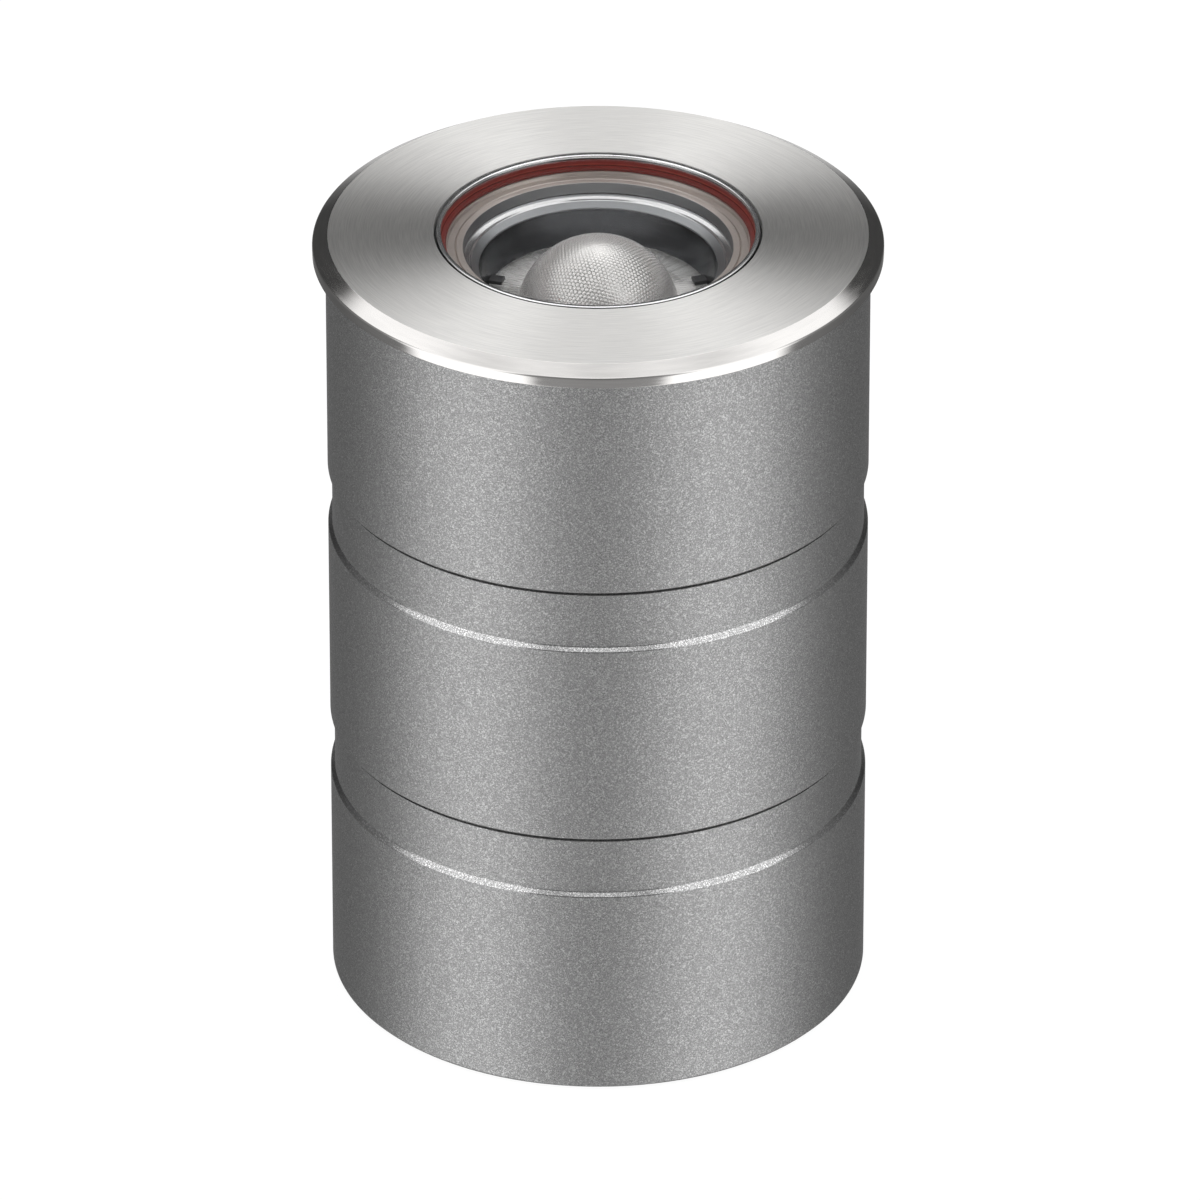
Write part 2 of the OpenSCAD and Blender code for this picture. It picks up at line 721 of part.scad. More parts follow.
module head_plug() {
    color(moulded_black) difference() {
        translate([0, head_plug_y, 0]) plug(upper_web_low_z);
        lead_holes(upper_web_low_z - plug_h / 4, upper_web_low_z + cut, lead_r * 1.2);
    }
}

module heat_spreader() {
    color(bright) difference() {
        translate([0, 0, upper_web_z]) cylinder(r = spreader_r, h = spreader_t);
        around(spreader_screw_angles, spreader_screw_r) translate([0, 0, upper_web_z - cut])
            cylinder(d = tiny_screw_d + face_gap * 3, h = spreader_t + cut * 2);
        around(led_screw_angles, led_screw_circle_r) translate([0, 0, spreader_top_z - spreader_t * 0.7])
            cylinder(d = tiny_screw_d + face_gap * 2, h = spreader_t);
        lead_holes(upper_web_z - cut, spreader_top_z + cut, lead_r * 1.6);
    }
}

module spreader_screws() {
    color(zinc) around(spreader_screw_angles, spreader_screw_r) translate([0, 0, spreader_top_z])
        cap_screw(tiny_screw_d, spreader_t + web_t * 0.6, spreader_head_d);
}

module thermal_pad() {
    color(nylon_grey) translate([0, 0, spreader_top_z]) difference() {
        cylinder(r = board_r - pad_t, h = pad_t);
        around(led_screw_angles, led_screw_circle_r) translate([0, 0, -cut])
            cylinder(d = tiny_screw_d * 1.3, h = pad_t + cut * 2);
        translate([0, head_plug_y + lead_r * 3.5 - board_r / 2, pad_t / 2])
            cube([pin_pitch * 2, board_r, pad_t * 3], center = true);
    }
}

module led_board() {
    color(bright) translate([0, 0, board_low_z]) difference() {
        cylinder(r = board_r, h = board_t);
        around(led_screw_angles, led_screw_circle_r) translate([0, 0, -cut])
            cylinder(d = tiny_screw_d * 1.2, h = board_t + cut * 2);
        for (side = [-1, 1]) translate([side * pin_pitch / 2, head_plug_y, -cut])
            cylinder(r = lead_r * 1.2, h = board_t + cut * 2);
        around([60, 120], board_r) translate([0, 0, -cut])
            cylinder(r = tiny_screw_d * 0.6, h = board_t + cut * 2);
    }
}

module led_screws() {
    head_d = min(tiny_screw_d * head_share, (board_r - led_r) - slide_gap * 2);
    color(zinc) around(led_screw_angles, led_screw_circle_r) translate([0, 0, board_top_z])
        scale([1, 1, 0.4]) cap_screw(tiny_screw_d, (board_t + pad_t + spreader_t * 0.6) / 0.4, head_d);
}

module led_chip() {
    color("#f2d64a") translate([0, 0, board_top_z]) {
        cylinder(r = led_r, h = led_t * 0.6);
        translate([0, 0, led_t * 0.6]) cylinder(r = led_r * 0.78, h = led_t * 0.4);
    }
}

module led_leads() {
    color(seal_red) for (side = [-1, 1]) lead([
        [side * pin_pitch / 2, head_plug_y, board_top_z],
        [side * pin_pitch / 2, head_plug_y, upper_web_low_z - plug_h / 4]], lead_r);
}

module lens_holder() {
    color(moulded_black) {
        rotate_extrude() polygon([
            [holder_foot_r, spreader_top_z],
            [holder_r, spreader_top_z],
            [holder_r, holder_top_z],
            [holder_bore_r, holder_top_z],
            [holder_bore_r, lens_top_z + catch_t],
            [holder_pocket_r, lens_top_z],
            [holder_pocket_r, lens_low_z],
            [holder_shelf_r, lens_low_z],
            [holder_foot_r, lens_low_z - lens_body_h / 2]]);
        around(catch_angles, 0) translate([cone_low_r - catch_reach, -catch_w / 2, lens_top_z + face_gap])
            cube([holder_r - cone_wall - cone_low_r + catch_reach, catch_w, catch_t]);
    }
}

module dome_lens() {
    dome_z = lens_top_z + dome_h - dome_r;
    foot_r = led_r * 1.15;
    color(clear, 0.6) difference() {
        union() {
            intersection() {
                translate([0, 0, dome_z]) sphere(r = dome_r, $fn = 128);
                translate([0, 0, lens_top_z - lens_flange_t / 2]) cylinder(r = dome_r + cut, h = dome_r + cut);
            }
            translate([0, 0, lens_low_z]) cylinder(r = lens_flange_r, h = lens_flange_t);
            translate([0, 0, lens_foot_z]) cylinder(r1 = foot_r, r2 = holder_shelf_r - cone_wall, h = lens_body_h);
        }
        translate([0, 0, lens_foot_z - cut]) cylinder(r1 = led_r * 0.9, r2 = led_r * 0.6, h = lens_body_h * 0.5 + cut);
    }
}

module baffle_cone() {
    color(near_black) difference() {
        rotate_extrude() polygon([
            [cone_low_r, cone_low_z],
            [cone_low_r + cone_wall, cone_low_z],
            [cone_top_r + cone_wall, holder_top_z],
            [lip_r, holder_top_z],
            [lip_r, lip_low_z],
            [cone_top_r, lip_low_z]]);
        around(catch_angles, 0) translate([0, -catch_w / 2 - ring_gap, cone_low_z - cut])
            cube([holder_r, catch_w + ring_gap * 2, cut + catch_t + ring_gap * 2]);
    }
}

module baffle_lip() {
    bead_r = lip_h * 0.3;
    bead_mid_r = seat_bore_r - bead_r - ring_gap;
    color(bright) rotate_extrude() {
        polygon([
            [cone_top_r, lip_low_z],
            [lip_r, lip_low_z],
            [lip_r, lip_top_z - face_gap],
            [bead_mid_r, lip_top_z - face_gap - bead_r / 2],
            [bead_mid_r - bead_r, lip_top_z - bead_r * 1.4],
            [cone_top_r, lip_low_z + bead_r * 0.6]]);
        translate([bead_mid_r, lip_top_z - face_gap - bead_r]) circle(r = bead_r, $fn = 32);
    }
}

module glass_seat() {
    groove_mid_r = (seat_step_r + seat_bore_r) / 2;
    seat_groove_z = ledge_z + (seat_flange_h - seat_groove_w) / 2;
    seat_groove_r = seat_ring_r - seat_ring_d / 2 - face_gap / 2;
    color(warm_grey) difference() {
        rotate_extrude() polygon([
            [seat_bore_r, lip_top_z],
            [seat_pocket_r, lip_top_z],
            [seat_pocket_r, ledge_z],
            [seat_flange_r, ledge_z],
            [seat_flange_r, seat_groove_z],
            [seat_groove_r, seat_groove_z],
            [seat_groove_r, seat_groove_z + seat_groove_w],
            [seat_flange_r, seat_groove_z + seat_groove_w],
            [seat_flange_r, seat_shoulder_z],
            [clamp_r, seat_shoulder_z],
            [clamp_r, seat_top_z],
            [seat_step_r, seat_top_z],
            [seat_step_r, seat_face_z],
            [groove_mid_r + groove_line_w, seat_face_z],
            [groove_mid_r, seat_face_z - groove_line_w],
            [groove_mid_r - groove_line_w, seat_face_z],
            [seat_bore_r, seat_face_z]]);
        around(clamp_screw_angles, clamp_screw_circle_r) translate([0, 0, seat_top_z - clamp_screw_reach])
            cylinder(d = small_screw_d + face_gap * 2, h = clamp_screw_reach + cut);
    }
}

module seat_ring() {
    color(rubber_black) translate([0, 0, ledge_z + seat_flange_h / 2]) o_ring(seat_ring_r, seat_ring_d);
}

module glass_seal() {
    color(seal_red) rotate_extrude() polygon([
        [seal_leg_r, seat_top_z],
        [seal_wide_r, seat_top_z],
        [seal_wide_r, clamp_wall_z],
        [seal_thin_r, clamp_wall_z],
        [seal_thin_r, glass_top_z],
        [glass_r, glass_top_z],
        [glass_r, glass_low_z],
        [seal_leg_r, glass_low_z]]);
}

module cover_glass() {
    color(clear, 0.35) translate([0, 0, glass_low_z]) cylinder(r = glass_r, h = glass_t, $fn = 128);
}

module glass_clamp() {
    color(bright) difference() {
        rotate_extrude() polygon([
            [clamp_lip_in_r, glass_top_z],
            [seal_thin_r, glass_top_z],
            [seal_thin_r, clamp_wall_z],
            [seal_wide_r, clamp_wall_z],
            [seal_wide_r, seat_top_z],
            [clamp_r, seat_top_z],
            [clamp_r, clamp_flange_z],
            [clamp_lip_r, clamp_flange_z],
            [clamp_lip_r, top_z],
            [clamp_lip_in_r, top_z]]);
        around(clamp_screw_angles, clamp_screw_circle_r) {
            translate([0, 0, seat_top_z - cut]) cylinder(d = small_screw_d + face_gap * 3, h = top_z);
            translate([0, 0, clamp_flange_z - small_screw_d * 0.7])
                cylinder(d = small_screw_d * head_share + slide_gap * 2, h = small_screw_d);
        }
    }
}

module clamp_screws() {
    seat_z = clamp_flange_z - small_screw_d * 0.7;
    color(zinc) around(clamp_screw_angles, clamp_screw_circle_r) translate([0, 0, seat_z])
        difference() {
            union() {
                cylinder(d = small_screw_d * head_share, h = small_screw_d * 0.6);
                translate([0, 0, seat_top_z - seat_z - clamp_screw_reach * 0.9])
                    cylinder(d = small_screw_d, h = seat_z - seat_top_z + clamp_screw_reach * 0.9 + face_gap);
            }
            translate([0, 0, small_screw_d * 0.2])
                cylinder(d = small_screw_d * key_share, h = small_screw_d, $fn = 6);
        }
}

module trim_ring() {
    groove_z = (trim_under_z + collar_low_z - friction_ring_d) / 2;
    color(steel) rotate_extrude() polygon([
        [opening_r, top_z - trim_plate_t],
        [collar_in_r, top_z - trim_plate_t],
        [collar_in_r, collar_low_z],
        [collar_r, collar_low_z],
        [collar_r, groove_z],
        [friction_groove_r, groove_z],
        [friction_groove_r, groove_z + friction_ring_d * 1.15],
        [collar_r, groove_z + friction_ring_d * 1.15],
        [collar_r, trim_seat_z],
        [trim_lip_r, trim_seat_z],
        [trim_lip_r, trim_under_z],
        [trim_r, trim_under_z],
        [trim_r, trim_rim_z],
        [trim_r - trim_bevel_w, trim_edge_z],
        [opening_r, top_z]]);
}

module trim_friction_ring() {
    groove_z = (trim_under_z + collar_low_z - friction_ring_d) / 2;
    color(rubber_black) translate([0, 0, groove_z + friction_ring_d * 0.575])
        o_ring(friction_ring_r, friction_ring_d);
}

lower_section();
base_plate();
base_gasket();
base_screws();
gland_body();
gland_locknut();
gland_seal();
gland_nut();
vent_plug();
earth_screw();
terminal_block();
terminal_screws();
supply_leads();
junction_socket();
lower_joint_ring();
middle_section();
junction_screws();
junction_plug();
driver_tray();
driver_screws();
driver_board();
driver_transformer();
driver_choke();
driver_capacitors();
driver_leads();
driver_socket();
upper_joint_ring();
upper_section();
head_screws();
head_plug();
heat_spreader();
spreader_screws();
thermal_pad();
led_board();
led_screws();
led_chip();
led_leads();
lens_holder();
dome_lens();
baffle_cone();
baffle_lip();
glass_seat();
seat_ring();
glass_seal();
cover_glass();
glass_clamp();
clamp_screws();
trim_ring();
trim_friction_ring();
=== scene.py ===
import math

import bmesh
import bpy
from mathutils import Matrix
from mathutils.kdtree import KDTree


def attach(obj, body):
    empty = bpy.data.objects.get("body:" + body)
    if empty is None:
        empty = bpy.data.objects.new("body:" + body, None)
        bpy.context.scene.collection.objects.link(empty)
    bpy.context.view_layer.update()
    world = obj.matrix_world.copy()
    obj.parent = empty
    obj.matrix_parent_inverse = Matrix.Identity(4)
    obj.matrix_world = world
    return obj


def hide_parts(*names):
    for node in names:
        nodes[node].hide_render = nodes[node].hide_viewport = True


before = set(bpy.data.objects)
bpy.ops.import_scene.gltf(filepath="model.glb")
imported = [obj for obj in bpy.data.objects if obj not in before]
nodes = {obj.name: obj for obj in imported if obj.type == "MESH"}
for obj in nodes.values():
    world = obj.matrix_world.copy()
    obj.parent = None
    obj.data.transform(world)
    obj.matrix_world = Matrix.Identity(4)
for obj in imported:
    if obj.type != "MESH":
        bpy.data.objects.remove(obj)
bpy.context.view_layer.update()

MM = 0.001
STEPS = 256  # sides of every turned piece
CORNER_SEGMENTS = 4  # segments of a rounded corner
MERGE = 1e-7  # metres within which doubled points are one
SHARP = 32  # degrees from which an edge shows as an edge


def linear(code):
    """sRGB hex to the linear RGBA that a socket takes."""
    parts = [int(code[i : i + 2], 16) / 255 for i in (1, 3, 5)]
    return [c / 12.92 if c <= 0.04045 else ((c + 0.055) / 1.055) ** 2.4 for c in parts] + [1.0]


# ---------------------------------------------------------------- shapes


def outline_edges(bm, points, rounds):
    """A closed outline in the X-Z plane, in mm, with some corners rounded: {radius: [indices]}."""
    corners = [bm.verts.new((r * MM, 0, z * MM)) for r, z in points]
    bm.faces.new(corners)
    for radius, indices in rounds.items():
        bmesh.ops.bevel(
            bm,
            geom=[corners[i] for i in indices],
            offset=radius * MM,
            offset_type="OFFSET",
            segments=CORNER_SEGMENTS,
            profile=0.5,
            affect="VERTICES",
            material=-1,
        )
    bmesh.ops.delete(bm, geom=bm.faces[:], context="FACES_ONLY")


def turn(points, rounds=None, steps=STEPS, at=(0, 0)):
    """A bmesh of the outline turned once round the Z axis, then moved to at."""
    bm = bmesh.new()
    outline_edges(bm, points, rounds or {})
    bmesh.ops.spin(
        bm,
        geom=bm.verts[:] + bm.edges[:],
        cent=(0, 0, 0),
        axis=(0, 0, 1),
        angle=2 * math.pi,
        steps=steps,
        use_merge=True,
    )
    bmesh.ops.remove_doubles(bm, verts=bm.verts[:], dist=MERGE)
    bmesh.ops.recalc_face_normals(bm, faces=bm.faces[:])
    bmesh.ops.translate(bm, verts=bm.verts[:], vec=(at[0] * MM, at[1] * MM, 0))
    return bm


def reach(face):
    """A face's distance from the light's axis, in mm."""
    return face.calc_center_median().xy.length / MM


def level_of(face):
    """A face's height, in mm."""
    return face.calc_center_median().z / MM


def block(width, length, height, at, edge, turned_by=0.0):
    """A bmesh box with softened edges, in mm, centred on at before it's turned round the Z axis."""
    bm = bmesh.new()
    bmesh.ops.create_cube(bm, size=MM)
    bmesh.ops.scale(bm, verts=bm.verts[:], vec=(width, length, height))
    bmesh.ops.bevel(
        bm,
        geom=bm.edges[:],
        offset=edge * MM,
        offset_type="OFFSET",
        segments=2,
        profile=0.5,
        affect="EDGES",
        material=-1,
    )
    bmesh.ops.translate(bm, verts=bm.verts[:], vec=[c * MM for c in at])
    bmesh.ops.rotate(
        bm, verts=bm.verts[:], cent=(0, 0, 0), matrix=Matrix.Rotation(math.radians(turned_by), 3, "Z")
    )
    return bm


def piece(name, stands_for, parts, body, materials, paint=None, weighted=True):
    """One named object from bmeshes in place of a CAD node, riding on a body. paint(face) picks the
    material's index."""
    mesh = bpy.data.meshes.new(name)
    whole = bmesh.new()
    for bm in parts:
        bm.to_mesh(mesh)
        bm.free()
        whole.from_mesh(mesh)
    if paint:
        for face in whole.faces:
            face.material_index = paint(face)
    whole.to_mesh(mesh)
    whole.free()
    mesh.shade_smooth()
    mesh.set_sharp_from_angle(angle=math.radians(SHARP))
    for m in materials:
        mesh.materials.append(m)
    obj = bpy.data.objects.new(name, mesh)
    bpy.context.scene.collection.objects.link(obj)
    if weighted:
        shade = obj.modifiers.new("weighted", "WEIGHTED_NORMAL")
        shade.keep_sharp = True
    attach(obj, body)
    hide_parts(stands_for)
    return obj


# ---------------------------------------------------------------- materials


def add(tree, kind, inputs=None, **settings):
    """Adds a shader node, with its settings, and with values or links on its inputs."""
    n = tree.nodes.new("ShaderNode" + kind)
    for key, value in settings.items():
        setattr(n, key, value)
    for key, value in (inputs or {}).items():
        if isinstance(value, bpy.types.NodeSocket):
            tree.links.new(value, n.inputs[key])
        else:
            n.inputs[key].default_value = value
    return n


def blank(name):
    """An empty material: its tree and its output node."""
    m = bpy.data.materials.new(name)
    m.use_nodes = True
    m.node_tree.nodes.clear()
    return m, m.node_tree, add(m.node_tree, "OutputMaterial")


def in_mm(tree):
    """The place on the object, in mm, as a vector socket."""
    place = add(tree, "TexCoord").outputs["Object"]
    return add(tree, "VectorMath", {0: place, "Scale": 1000.0}, operation="SCALE").outputs[0]


def ramp(tree, value, stops, interpolation="EASE"):
    """A colour ramp through (position, grey or rgba) stops."""
    n = add(tree, "ValToRGB", {"Fac": value})
    n.color_ramp.interpolation = interpolation
    while len(n.color_ramp.elements) < len(stops):
        n.color_ramp.elements.new(0.5)
    for e, (position, colour) in zip(n.color_ramp.elements, stops):
        e.position = position
        e.color = [colour] * 3 + [1.0] if isinstance(colour, float) else colour
    return n.outputs["Color"]


def strays(code, tint):
    """The colour a little darker and a little lighter, as the two ends of a ramp."""
    colour = linear(code)[:3]
    return [c * (1 - tint) for c in colour] + [1.0], [min(1.0, c * (1 + tint)) for c in colour] + [1.0]


def grainy(name, code, rough, metal=0.0, grain=1.5, tint=0.1, bump=0.01, spread=0.08, scratch=1.0):
    """A plain surface with fine grain: grain is cells per mm, bump its depth in mm, tint and spread
    how far colour and roughness stray."""
    m, tree, out = blank(name)
    place = in_mm(tree)
    stretched = add(tree, "VectorMath", {0: place, 1: (1.0, 1.0, scratch)}, operation="MULTIPLY").outputs[0]
    noise = add(tree, "TexNoise", {"Vector": stretched, "Scale": grain, "Detail": 4.0}).outputs["Fac"]
    soft = add(tree, "TexNoise", {"Vector": place, "Scale": 0.06, "Detail": 3.0}).outputs["Fac"]
    mix = add(tree, "Math", {0: noise, 1: soft}, operation="ADD").outputs[0]
    half = add(tree, "Math", {0: mix, 1: 0.5}, operation="MULTIPLY").outputs[0]
    low, high = strays(code, tint)
    colour = ramp(tree, half, [(0.35, low), (0.65, high)])
    roughness = add(
        tree,
        "MapRange",
        {"Value": mix, "From Min": 0.7, "From Max": 1.3, "To Min": rough - spread, "To Max": rough + spread},
    ).outputs[0]
    relief = add(tree, "Bump", {"Height": noise, "Distance": bump * MM, "Strength": 1.0}).outputs[0]
    shader = add(
        tree,
        "BsdfPrincipled",
        {"Base Color": colour, "Metallic": metal, "Roughness": roughness, "Normal": relief},
    )
    tree.links.new(shader.outputs[0], out.inputs["Surface"])
    return m


def blasted(name, dark, middle, light, rough, depth):
    """Grain-blasted metal: grains a fifth of a millimetre wide, twice the real ones so that they show.
    Most are near one tone, and a few catch the light."""
    m, tree, out = blank(name)
    place = in_mm(tree)
    fine = add(
        tree, "TexNoise", {"Vector": place, "Scale": 8.0, "Detail": 2.0, "Roughness": 0.6}
    ).outputs["Fac"]
    grains = add(tree, "TexVoronoi", {"Vector": place, "Scale": 5.2}, feature="F1").outputs["Color"]
    glint = add(tree, "SeparateColor", {"Color": grains}).outputs[0]
    rare = add(tree, "Math", {0: glint, 1: 5.0}, operation="POWER").outputs[0]
    speck = add(tree, "MapRange", {"Value": rare, "To Min": -0.05, "To Max": 0.24}).outputs[0]
    value = add(tree, "Math", {0: fine, 1: speck}, operation="ADD").outputs[0]
    colour = ramp(tree, value, [(0.3, linear(dark)), (0.5, linear(middle)), (0.72, linear(light))])
    roughness = add(
        tree,
        "MapRange",
        {"Value": value, "From Min": 0.3, "From Max": 0.7, "To Min": rough + 0.06, "To Max": rough - 0.06},
    ).outputs[0]
    relief = add(tree, "Bump", {"Height": value, "Distance": depth * MM, "Strength": 1.0}).outputs[0]
    shader = add(
        tree,
        "BsdfPrincipled",
        {"Base Color": colour, "Metallic": 1.0, "Roughness": roughness, "Normal": relief},
    )
    tree.links.new(shader.outputs[0], out.inputs["Surface"])
    return m


def radial(tree, place):
    """Distance from the light's axis in mm, and the unit vector away from the axis."""
    flat = add(tree, "VectorMath", {0: place, 1: (1.0, 1.0, 0.0)}, operation="MULTIPLY").outputs[0]
    distance = add(tree, "VectorMath", {0: flat}, operation="LENGTH").outputs["Value"]
    away = add(tree, "VectorMath", {0: flat}, operation="NORMALIZE").outputs[0]
    return distance, away


def turned_metal(name, code, rough, anisotropy, streaks=5.0, tint=0.08, spread=0.06, bump=0.002):
    """Metal with circular tool or brush marks: fine rings that stretch the light across them."""
    m, tree, out = blank(name)
    place = in_mm(tree)
    distance, away = radial(tree, place)
    swept = add(tree, "VectorMath", {0: away, "Scale": 6.0}, operation="SCALE").outputs[0]
    height = add(tree, "SeparateXYZ", {0: place}).outputs[2]
    across = add(tree, "Math", {0: distance, 1: height}, operation="ADD").outputs[0]
    rings = add(tree, "Math", {0: across, 1: streaks}, operation="MULTIPLY").outputs[0]
    lift = add(tree, "CombineXYZ", {2: rings}).outputs[0]
    field = add(tree, "VectorMath", {0: swept, 1: lift}, operation="ADD").outputs[0]
    fine = add(
        tree, "TexNoise", {"Vector": field, "Scale": 1.0, "Detail": 3.0, "Roughness": 0.6}
    ).outputs["Fac"]
    low, high = strays(code, tint)
    colour = ramp(tree, fine, [(0.3, low), (0.7, high)])
    roughness = add(
        tree,
        "MapRange",
        {"Value": fine, "From Min": 0.3, "From Max": 0.7, "To Min": rough - spread, "To Max": rough + spread},
    ).outputs[0]
    relief = add(tree, "Bump", {"Height": fine, "Distance": bump * MM, "Strength": 1.0}).outputs[0]
    tangent = add(
        tree, "VectorTransform", {0: away}, vector_type="VECTOR", convert_from="OBJECT", convert_to="WORLD"
    ).outputs[0]
    shader = add(
        tree,
        "BsdfPrincipled",
        {
            "Base Color": colour,
            "Metallic": 1.0,
            "Roughness": roughness,
            "Anisotropic": anisotropy,
            "Normal": relief,
            "Tangent": tangent,
        },
    )
    tree.links.new(shader.outputs[0], out.inputs["Surface"])
    return m


def silvered():
    """Metallised wall with fine ribs that run away from the axis, seen through the clear flange."""
    m, tree, out = blank("silvered_wall")
    place = in_mm(tree)
    _, away = radial(tree, place)
    height = add(tree, "VectorMath", {0: place, 1: (0.0, 0.0, 0.15)}, operation="MULTIPLY").outputs[0]
    around = add(tree, "VectorMath", {0: away, "Scale": 22.0}, operation="SCALE").outputs[0]
    field = add(tree, "VectorMath", {0: around, 1: height}, operation="ADD").outputs[0]
    ribs = add(tree, "TexNoise", {"Vector": field, "Scale": 1.0, "Detail": 2.0}).outputs["Fac"]
    colour = ramp(tree, ribs, [(0.35, linear("#dcdcda")), (0.6, linear("#fafaf9"))])
    roughness = add(tree, "MapRange", {"Value": ribs, "To Min": 0.5, "To Max": 0.6}).outputs[0]
    relief = add(tree, "Bump", {"Height": ribs, "Distance": 0.1 * MM, "Strength": 1.0}).outputs[0]
    shader = add(
        tree,
        "BsdfPrincipled",
        {"Base Color": colour, "Metallic": 1.0, "Roughness": roughness, "Normal": relief},
    )
    tree.links.new(shader.outputs[0], out.inputs["Surface"])
    return m


def clear(name, code, ior, rough=0.0, lenslets=False):
    """A clear solid that bends light, and lets straight light through for shadows."""
    m, tree, out = blank(name)
    place = in_mm(tree)
    haze = add(tree, "TexNoise", {"Vector": place, "Scale": 0.4, "Detail": 2.0}).outputs["Fac"]
    roughness = add(
        tree,
        "MapRange",
        {"Value": haze, "From Min": 0.4, "From Max": 0.8, "To Min": rough, "To Max": rough + 0.01},
    ).outputs[0]
    solid = add(
        tree,
        "BsdfPrincipled",
        {"Base Color": linear(code), "Roughness": roughness, "Transmission Weight": 1.0, "IOR": ior},
    )
    if lenslets:
        # Each lenslet's middle is a half-metallic white, a painted reflection that stands in for the silvery
        # look of the optics inside, and its border stays clear
        middle = add(tree, "Attribute", attribute_name="lenslet").outputs["Fac"]
        amount = add(tree, "MapRange", {"Value": middle, "From Min": 0.1, "From Max": 0.4}).outputs[0]
        painted_reflection = add(
            tree, "BsdfPrincipled", {"Base Color": linear("#fcfaf8"), "Metallic": 0.5, "Roughness": 0.22}
        )
        solid = add(tree, "MixShader", {0: amount, 1: solid.outputs[0], 2: painted_reflection.outputs[0]})
    through = add(tree, "BsdfTransparent", {"Color": linear(code)})
    path = add(tree, "LightPath")
    shader = add(
        tree, "MixShader", {0: path.outputs["Is Shadow Ray"], 1: solid.outputs[0], 2: through.outputs[0]}
    )
    tree.links.new(shader.outputs[0], out.inputs["Surface"])
    return m


def edge_of_glass():
    """The glass's edge where the red seal touches it: the seal's colour, with painted shade at the top, where
    the clamp shades it, painted shade at the foot, and a painted highlight as a bright line low down."""
    m, tree, out = blank("sealed_edge_painted_light")
    place = in_mm(tree)
    height = add(tree, "SeparateXYZ", {0: place}).outputs[2]
    share = add(tree, "MapRange", {"Value": height, "From Min": 142.5, "From Max": 146.5}).outputs[0]
    grain = add(tree, "TexNoise", {"Vector": place, "Scale": 1.5, "Detail": 2.0}).outputs["Fac"]
    stray = add(tree, "MapRange", {"Value": grain, "To Min": -0.03, "To Max": 0.03}).outputs[0]
    level = add(tree, "Math", {0: share, 1: stray}, operation="ADD").outputs[0]
    # The dark ends are painted shade and the pale band at 0.2 is a painted highlight
    colour = ramp(
        tree,
        level,
        [
            (0.0, linear("#140504")),
            (0.08, linear("#8e2a1e")),
            (0.2, linear("#c05a48")),
            (0.28, linear("#9c2518")),
            (0.74, linear("#861c12")),
            (0.84, linear("#1a0605")),
            (1.0, linear("#120404")),
        ],
        "LINEAR",
    )
    shader = add(tree, "BsdfPrincipled", {"Base Color": colour, "Roughness": 0.45})
    tree.links.new(shader.outputs[0], out.inputs["Surface"])
    return m


# Matt grey barrel with sparkling grain, soft broad highlights left and right
blasted_aluminium = blasted("blasted_aluminium", "#787878", "#a1a1a1", "#cccccc", 0.5, 0.012)
# The small shoulders below the necks, where handling has worn the grain smooth: a lighter copy of the blasted
# metal whose lighter colour is a painted highlight, a glittering line
worn_and_highlight_aluminium = blasted("worn_and_highlight_aluminium", "#8a8a8a", "#bcbcbc", "#f0f0f0", 0.13, 0.003)
# Face of the trim ring: fine circular brushing fans the light out, bright front and rear, dark at the sides
brushed_stainless = turned_metal(
    "brushed_stainless", "#dfdedc", 0.52, 0.95, streaks=7.0, tint=0.09, spread=0.06
)
# The cut edge of the ring: bright and nearly a mirror, so that it shows hard bands of light and dark
polished_stainless = turned_metal(
    "polished_stainless", "#dcdad8", 0.13, 0.0, streaks=3.0, tint=0.03, spread=0.03
)
# Clamp ring, baffle lip and heat spreader: clean, lightly turned, with crisp highlights
bright_aluminium = turned_metal(
    "bright_aluminium", "#ebebec", 0.16, 0.3, streaks=4.0, tint=0.03, spread=0.04
)
# Seat under the glass: warm grey, turned, half matt
satin_aluminium = turned_metal("satin_aluminium", "#cdc5bf", 0.4, 0.6, tint=0.05)
# Bore of the seat and slope of the lip: cool mid grey, so that the steps in the well read apart
grey_anodised = turned_metal("grey_anodised", "#a4a6a8", 0.34, 0.3, streaks=4.0, tint=0.05)
# Flange of the clamp ring, painted near black as painted shade, seen only as the dark gap beside its lip
black_anodised = grainy("black_anodised", "#16171a", 0.3, grain=2.0, tint=0.2, bump=0.0005, spread=0.03)
# Glare cone: near black and glossy, with faint reflections of the lens
black_chrome = turned_metal("black_chrome", "#5c5e61", 0.14, 0.2, streaks=1.5, spread=0.03)
# Metallised wall round the lens: the ribbed silver that shows through the clear flange
silvered_wall = silvered()
# Flat 4 mm glass, as good as invisible but for its glints
window_glass = clear("window_glass", "#fdfdfd", 1.5)
# Lens: clear moulded plastic whose lenslets sparkle silver through the painted reflection in their middles
lens_acrylic = clear("lens_acrylic", "#fdfdfd", 1.49, lenslets=True)
# Glass seal and O-rings of the sections: dark red rubber with a soft sheen
red_silicone = grainy("red_silicone", "#7d2a22", 0.42, grain=1.2, tint=0.12, bump=0.004)
# The glass's edge against the seal: red between two dark lines of painted shade, with a painted highlight low
# down
sealed_edge_painted_light = edge_of_glass()
# Gasket, gland seal and hidden rings: matt black with a faint bloom
black_rubber = grainy("black_rubber", "#242424", 0.6, tint=0.15, bump=0.006)
# Pad under the LED board: dull, slightly mottled grey
thermal_silicone = grainy("thermal_silicone", "#9a9ca0", 0.7, grain=2.0, tint=0.08, bump=0.006)
# Tray, plugs, sockets, vent plug and lens cup: black moulding with a fine texture
black_nylon = grainy("black_nylon", "#1c1c1e", 0.42, grain=4.0, tint=0.15, bump=0.006)
# Terminal block: pale grey moulding
grey_nylon = grainy("grey_nylon", "#b4b6b8", 0.5, grain=3.0, tint=0.05, bump=0.005)
